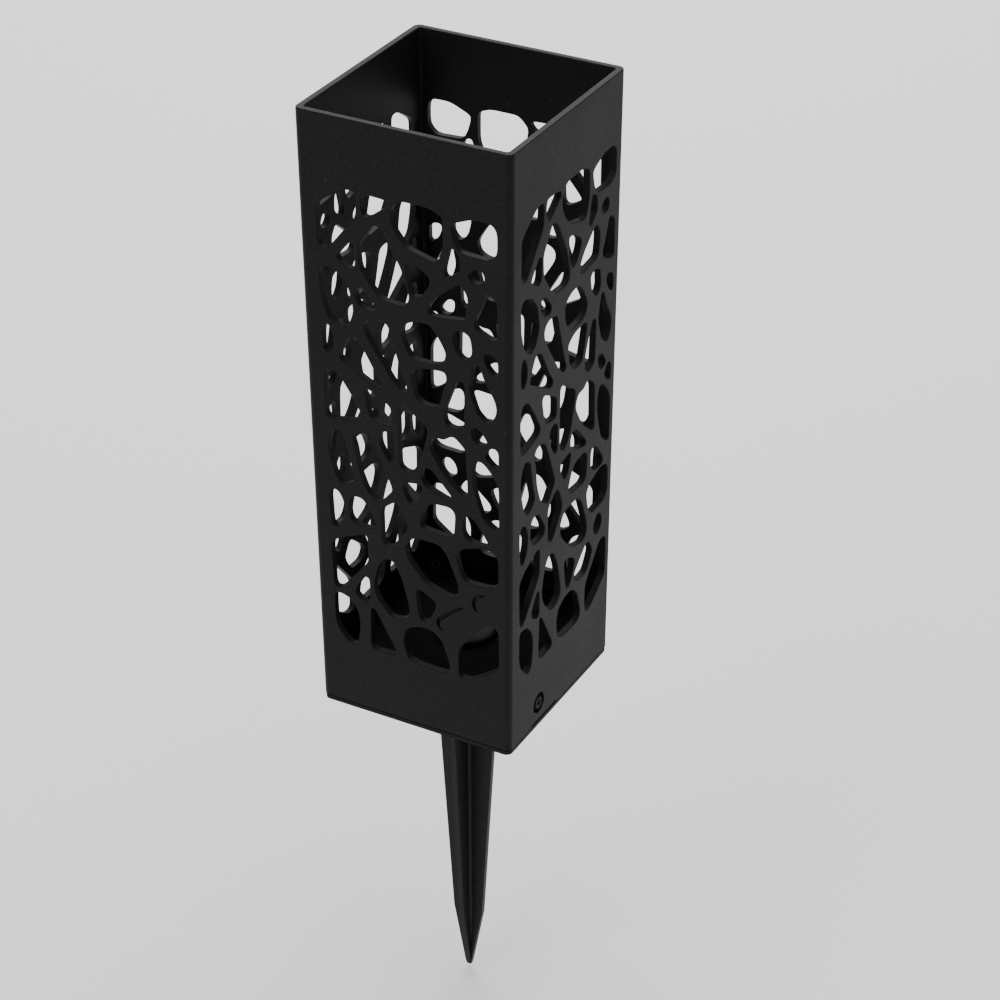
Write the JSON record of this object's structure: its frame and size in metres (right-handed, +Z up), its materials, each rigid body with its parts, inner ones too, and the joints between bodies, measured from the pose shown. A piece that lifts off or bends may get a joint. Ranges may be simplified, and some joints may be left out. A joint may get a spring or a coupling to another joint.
{
  "type": "garden torch lantern on a stake",
  "caption": "Square black garden torch lantern: open-topped lattice shell on a base with a battery light, lifted off a four-finned ground stake.",
  "frame": {"origin": "centre of the base's underside, at ground level when the stake is pushed right in", "axes": "+Z up along the stake and the shell; -Y is the front wall; +X is the wall with the drain slot"},
  "size_m": [0.081, 0.081, 0.375],
  "materials": {
    "shell_plastic": "satin moulded black plastic",
    "base_plastic": "satin moulded black plastic",
    "deck_plastic": "matt moulded black plastic",
    "clear_lens": "clear, polished",
    "circuit_board": "white solder mask",
    "led_phosphor": "yellow phosphor gel",
    "chip_epoxy": "black moulding compound",
    "cell_sleeve": "plain printed sleeve",
    "spring_steel": "nickel plated wire",
    "contact_brass": "stamped brass",
    "red_insulation": "PVC insulation",
    "black_insulation": "PVC insulation",
    "switch_plastic": "matt",
    "door_plastic": "satin moulded black plastic",
    "plated_steel": "zinc plated",
    "black_steel": "black oxide, worn to steel on the recess's edges",
    "stake_plastic": "satin moulded black plastic"
  },
  "bodies": {
    "stake": {"stake": "stake_plastic"},
    "lantern": {"lattice_shell": "shell_plastic", "base_tray": "base_plastic", "deck_cover": "deck_plastic", "lens": "clear_lens", "led_board": "circuit_board", "led_emitter": "led_phosphor", "driver_chip": "chip_epoxy", "resistor": "chip_epoxy", "battery_cell_front": "cell_sleeve", "battery_cell_back": "cell_sleeve", "cell_springs": "spring_steel", "end_plates": "contact_brass", "bridge_strap": "contact_brass", "red_lead": "red_insulation", "black_lead": "black_insulation", "switch_lead": "black_insulation", "switch_case": "switch_plastic", "board_screws": "plated_steel", "deck_screws": "plated_steel", "side_screws": "black_steel"},
    "switch_knob": {"switch_knob": "switch_plastic"},
    "battery_door_front": {"battery_door_front": "door_plastic"},
    "battery_door_back": {"battery_door_back": "door_plastic"}
  },
  "joints": [
    {"name": "lantern_lift", "type": "slide", "parent": "stake", "child": "lantern", "axis": [0, 0, 1], "range_m": [0, 0.0125]},
    {"name": "switch_slide", "type": "slide", "parent": "lantern", "child": "switch_knob", "axis": [0, 1, 0], "range_m": [0, 0.003]},
    {"name": "door_front_tilt", "type": "hinge", "parent": "lantern", "child": "battery_door_front", "pos_m": [0, -0.02985, 0], "axis": [-1, 0, 0], "range_deg": [0, 80]},
    {"name": "door_back_tilt", "type": "hinge", "parent": "lantern", "child": "battery_door_back", "pos_m": [0, 0.02985, 0], "axis": [1, 0, 0], "range_deg": [0, 80]}
  ]
}
